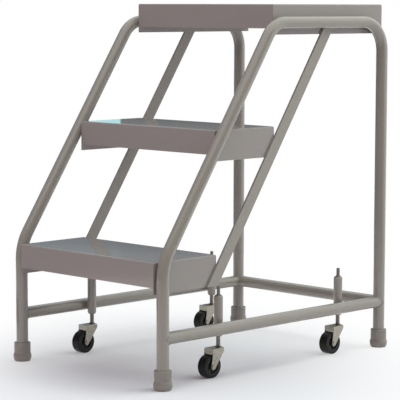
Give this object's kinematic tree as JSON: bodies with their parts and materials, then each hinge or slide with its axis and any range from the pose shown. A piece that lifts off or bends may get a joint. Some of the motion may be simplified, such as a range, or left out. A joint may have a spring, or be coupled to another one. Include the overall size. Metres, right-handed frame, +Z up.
{
  "type": "rolling ladder",
  "caption": "Low rolling ladder with folded sheet treads between bent tube side frames, rubber tipped legs and spring-loaded swivel casters.",
  "frame": {"origin": "on the floor, at mid width and midway between the front and rear leg axes", "axes": "+X to the climber's right, +Y away from the climber towards the high end, +Z up"},
  "size_m": [0.472, 0.7102, 0.762],
  "materials": {
    "frame_paint": "satin taupe grey enamel",
    "tread_paint": "glossy taupe grey enamel",
    "foot_rubber": "matt grey rubber",
    "caster_steel": "zinc plated steel",
    "tyre_rubber": "black rubber",
    "wheel_plastic": "black moulded core"
  },
  "bodies": {
    "frame": {"left_side_frame": "frame_paint", "right_side_frame": "frame_paint", "left_lower_rail": "frame_paint", "right_lower_rail": "frame_paint", "rear_lower_rail": "frame_paint", "bottom_step": "tread_paint", "middle_step": "tread_paint", "top_platform": "tread_paint", "left_strut": "frame_paint", "right_strut": "frame_paint", "front_left_foot": "foot_rubber", "front_left_socket": "frame_paint", "front_right_foot": "foot_rubber", "front_right_socket": "frame_paint", "rear_left_foot": "foot_rubber", "rear_left_socket": "frame_paint", "rear_right_foot": "foot_rubber", "rear_right_socket": "frame_paint"},
    "front_left_swivel": {"front_left_stem": "caster_steel", "front_left_fork": "caster_steel", "front_left_axle": "caster_steel"},
    "front_left_wheel": {"front_left_tyre": "tyre_rubber", "front_left_wheel_core": "wheel_plastic"},
    "front_right_swivel": {"front_right_stem": "caster_steel", "front_right_fork": "caster_steel", "front_right_axle": "caster_steel"},
    "front_right_wheel": {"front_right_tyre": "tyre_rubber", "front_right_wheel_core": "wheel_plastic"},
    "rear_left_swivel": {"rear_left_stem": "caster_steel", "rear_left_fork": "caster_steel", "rear_left_axle": "caster_steel"},
    "rear_left_wheel": {"rear_left_tyre": "tyre_rubber", "rear_left_wheel_core": "wheel_plastic"},
    "rear_right_swivel": {"rear_right_stem": "caster_steel", "rear_right_fork": "caster_steel", "rear_right_axle": "caster_steel"},
    "rear_right_wheel": {"rear_right_tyre": "tyre_rubber", "rear_right_wheel_core": "wheel_plastic"}
  },
  "joints": [
    {"name": "front_left_swivel_turn", "type": "hinge", "parent": "frame", "child": "front_left_swivel", "pos_m": [-0.19423, -0.1555, 0.1], "axis": [0, 0, 1], "continuous": true},
    {"name": "front_left_wheel_spin", "type": "hinge", "parent": "front_left_swivel", "child": "front_left_wheel", "pos_m": [-0.19423, -0.1816, 0.024], "axis": [1, 0, 0], "continuous": true},
    {"name": "front_right_swivel_turn", "type": "hinge", "parent": "frame", "child": "front_right_swivel", "pos_m": [0.19423, -0.1555, 0.1], "axis": [0, 0, 1], "continuous": true},
    {"name": "front_right_wheel_spin", "type": "hinge", "parent": "front_right_swivel", "child": "front_right_wheel", "pos_m": [0.19423, -0.1816, 0.024], "axis": [1, 0, 0], "continuous": true},
    {"name": "rear_left_swivel_turn", "type": "hinge", "parent": "frame", "child": "rear_left_swivel", "pos_m": [-0.19423, 0.2211, 0.1], "axis": [0, 0, 1], "continuous": true},
    {"name": "rear_left_wheel_spin", "type": "hinge", "parent": "rear_left_swivel", "child": "rear_left_wheel", "pos_m": [-0.19423, 0.195, 0.024], "axis": [1, 0, 0], "continuous": true},
    {"name": "rear_right_swivel_turn", "type": "hinge", "parent": "frame", "child": "rear_right_swivel", "pos_m": [0.19423, 0.2211, 0.1], "axis": [0, 0, 1], "continuous": true},
    {"name": "rear_right_wheel_spin", "type": "hinge", "parent": "rear_right_swivel", "child": "rear_right_wheel", "pos_m": [0.19423, 0.195, 0.024], "axis": [1, 0, 0], "continuous": true}
  ]
}
